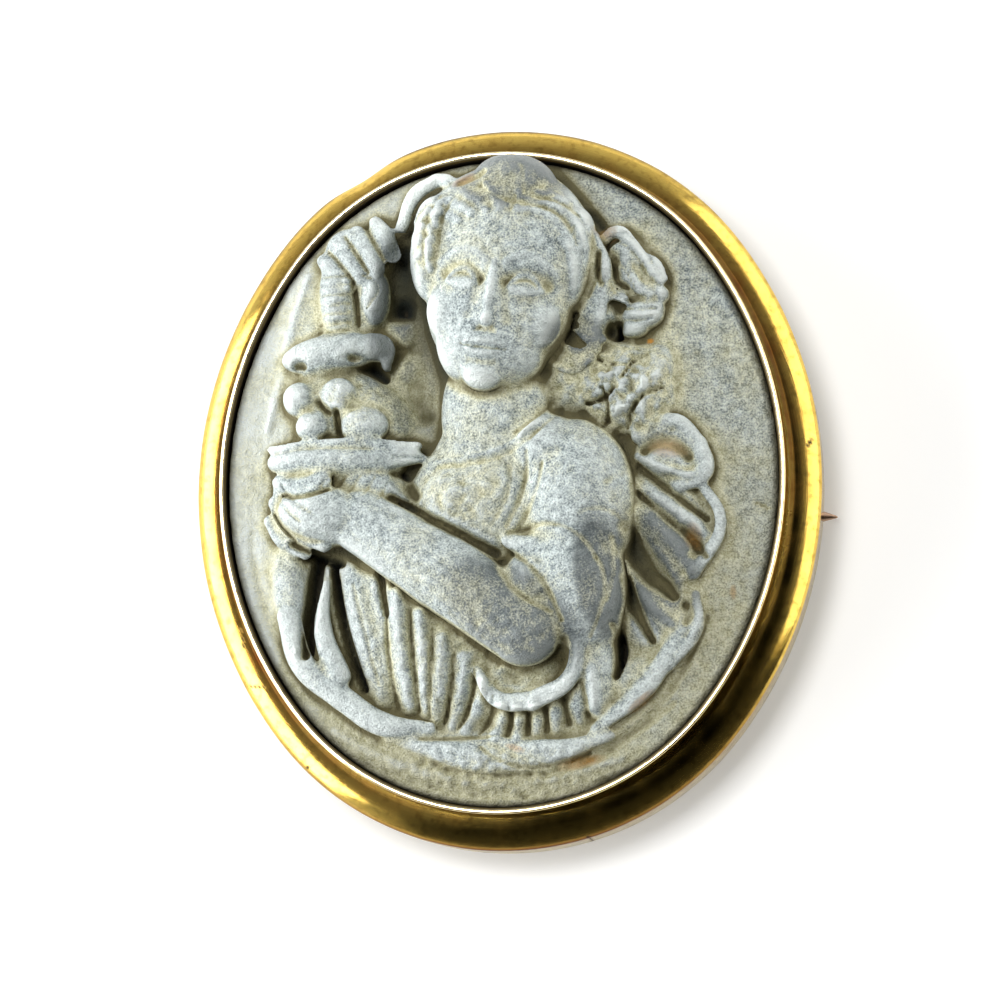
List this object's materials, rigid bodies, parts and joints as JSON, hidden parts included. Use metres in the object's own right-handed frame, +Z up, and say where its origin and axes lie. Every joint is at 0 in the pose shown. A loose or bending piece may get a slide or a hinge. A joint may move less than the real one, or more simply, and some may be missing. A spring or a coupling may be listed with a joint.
{
  "type": "lava cameo brooch",
  "caption": "Oval brooch: a carved grey stone cameo in high relief in a half-round gold frame, with a hinged pin and hook catch on the back.",
  "frame": {"origin": "on the surface that the brooch lies on, under the middle of the oval", "axes": "+Z up out of the cameo's face, +Y towards the top of the oval, +X towards the pin's tip"},
  "size_m": [0.0404, 0.046, 0.0139],
  "materials": {
    "lava_stone": "carved matte lava stone, blue-grey with cream patina in the hollows",
    "gold": "polished worn yellow gold",
    "pin_metal": "drawn rose-gold wire, dulled"
  },
  "bodies": {
    "brooch": {"cameo_stone": "lava_stone", "bezel_frame": "gold", "hinge_rivet": "gold"},
    "pin": {"brooch_pin": "pin_metal"}
  },
  "joints": [
    {"name": "pin_swing", "type": "hinge", "parent": "brooch", "child": "pin", "pos_m": [-0.01816, 0.00058, 0.00085], "axis": [0.0611, 0.9981, 0], "range_deg": [0, 70]}
  ]
}
